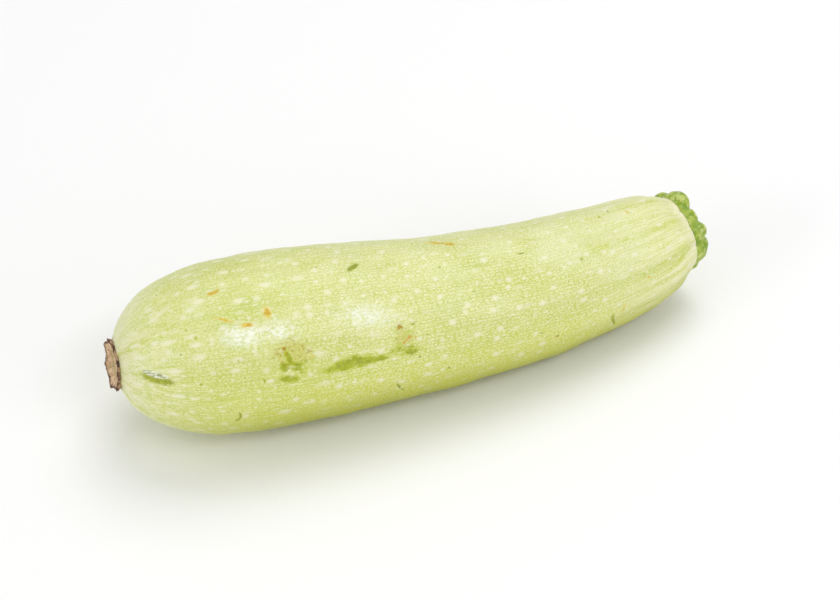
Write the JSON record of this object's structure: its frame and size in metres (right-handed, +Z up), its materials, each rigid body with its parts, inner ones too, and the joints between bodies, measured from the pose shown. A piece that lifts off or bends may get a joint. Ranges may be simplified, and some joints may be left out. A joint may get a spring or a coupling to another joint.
{
  "type": "zucchini",
  "caption": "Whole pale green zucchini lying on its belly, slightly bent, with a short cut stem of rounded lobes and a dried corky blossom scar.",
  "frame": {"origin": "on the surface it lies on, under the middle of its bounding box", "axes": "+X along the fruit from the blossom scar to the cut stem, +Z up, and the stem end bends towards +Y"},
  "size_m": [0.1963, 0.0568, 0.0532],
  "materials": {
    "skin": "satin",
    "stem": "satin",
    "cork": "matte"
  },
  "bodies": {
    "root": {"fruit": "skin", "stem": "stem", "blossom_scar": "cork"}
  },
  "joints": []
}
